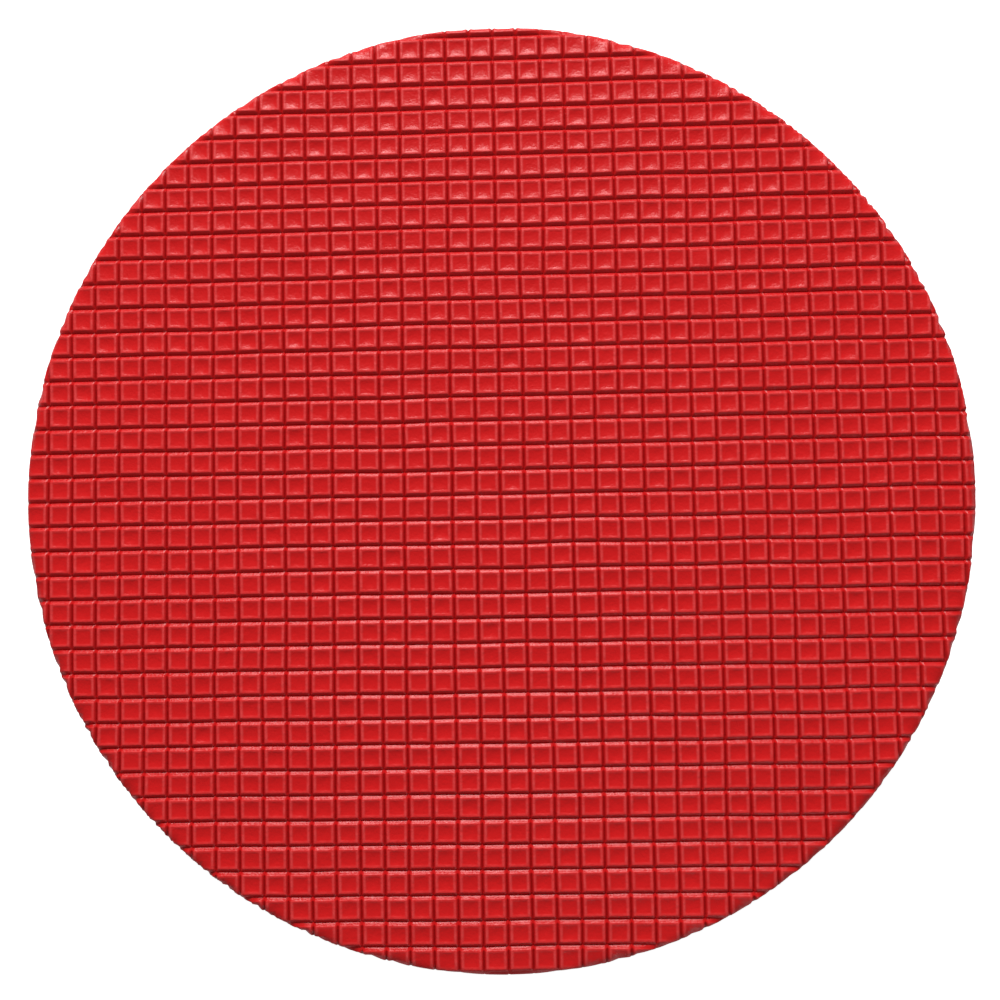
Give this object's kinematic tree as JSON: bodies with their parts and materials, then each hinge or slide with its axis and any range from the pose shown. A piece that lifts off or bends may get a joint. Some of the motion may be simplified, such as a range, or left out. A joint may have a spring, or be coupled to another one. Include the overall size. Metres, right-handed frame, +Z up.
{
  "type": "paddle case",
  "caption": "Round hard-shell zip case for a table tennis paddle, red square-embossed cover, foam tray with ball recesses, lid pocket, folding lid and paired zipper sliders.",
  "frame": {"origin": "middle of the underside", "axes": "+Z up through the closed case, -Y towards the carry strap and zipper sliders, +Y towards the folding spine"},
  "size_m": [0.2818, 0.2897, 0.06],
  "materials": {
    "red_leatherette": "square-embossed, semi-gloss",
    "moulded_core": "matte",
    "knit_lining": "matte",
    "rim_binding": "matte",
    "zipper_tape": "matte",
    "zipper_coil": "semi-gloss",
    "spine_fabric": "matte",
    "tray_foam": "matte",
    "tray_felt": "matte",
    "elastic": "matte",
    "pocket_mesh": "matte",
    "webbing": "matte",
    "slider_metal": "gunmetal, satin",
    "rivet_metal": "satin",
    "grip_rubber": "matte"
  },
  "bodies": {
    "base": {"base_cover": "red_leatherette", "base_core": "moulded_core", "base_lining": "knit_lining", "base_rim_trim": "rim_binding", "base_zipper_tape": "zipper_tape", "base_zipper_coil": "zipper_coil", "base_zipper_stops": "zipper_coil", "spine_base_leaf": "spine_fabric", "tray_lower_layer": "tray_foam", "tray_upper_layer": "tray_foam", "tray_facing": "tray_felt", "handle_band": "elastic", "band_patches": "tray_felt", "carry_strap": "webbing", "strap_rivets": "rivet_metal", "strap_washers": "rivet_metal"},
    "lid": {"lid_cover": "red_leatherette", "lid_core": "moulded_core", "lid_lining": "knit_lining", "lid_rim_trim": "rim_binding", "lid_zipper_tape": "zipper_tape", "lid_zipper_coil": "zipper_coil", "lid_zipper_stops": "zipper_coil", "spine_lid_leaf": "spine_fabric", "pocket_mesh": "pocket_mesh", "pocket_gusset": "elastic", "pocket_hem": "elastic"},
    "slider_left": {"slider_left_body": "slider_metal", "slider_left_bail": "slider_metal"},
    "pull_left": {"pull_left_link": "slider_metal", "pull_left_grip": "grip_rubber"},
    "slider_right": {"slider_right_body": "slider_metal", "slider_right_bail": "slider_metal"},
    "pull_right": {"pull_right_link": "slider_metal", "pull_right_grip": "grip_rubber"}
  },
  "joints": [
    {"name": "lid_hinge", "type": "hinge", "parent": "base", "child": "lid", "pos_m": [0, 0.1417, 0.03], "axis": [-1, 0, 0], "range_deg": [0, 180]},
    {"name": "slider_left_travel", "type": "hinge", "parent": "base", "child": "slider_left", "pos_m": [0, 0, 0.03], "axis": [0, 0, -1], "range_deg": [0, 152]},
    {"name": "pull_left_swing", "type": "hinge", "parent": "slider_left", "child": "pull_left", "pos_m": [-0.00784, -0.14018, 0.03], "axis": [0, 0, 1], "range_deg": [0, 100]},
    {"name": "slider_right_travel", "type": "hinge", "parent": "base", "child": "slider_right", "pos_m": [0, 0, 0.03], "axis": [0, 0, 1], "range_deg": [0, 152]},
    {"name": "pull_right_swing", "type": "hinge", "parent": "slider_right", "child": "pull_right", "pos_m": [0.00784, -0.14018, 0.03], "axis": [0, 0, -1], "range_deg": [0, 100]}
  ]
}
